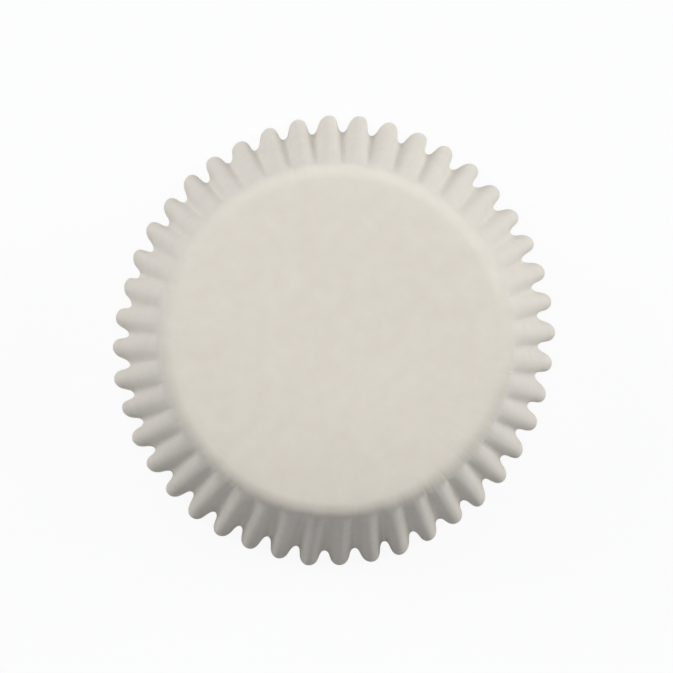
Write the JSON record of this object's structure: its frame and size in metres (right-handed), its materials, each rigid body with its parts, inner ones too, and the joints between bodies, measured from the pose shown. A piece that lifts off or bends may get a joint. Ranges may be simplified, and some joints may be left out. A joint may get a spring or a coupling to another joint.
{
  "type": "cupcake liner",
  "caption": "Fluted paper cupcake liner: a round flat base and a flared, pleated wall, shown base up.",
  "frame": {"origin": "centre of the rim, on the plane that the liner stands on with its base up", "axes": "+Z along the liner's axis, from the mouth to the base; +X through the outer fold of one pleat"},
  "size_m": [0.0694, 0.0694, 0.0298],
  "materials": {
    "paper": "matt white greaseproof baking paper"
  },
  "bodies": {
    "root": {"liner": "paper"}
  },
  "joints": []
}
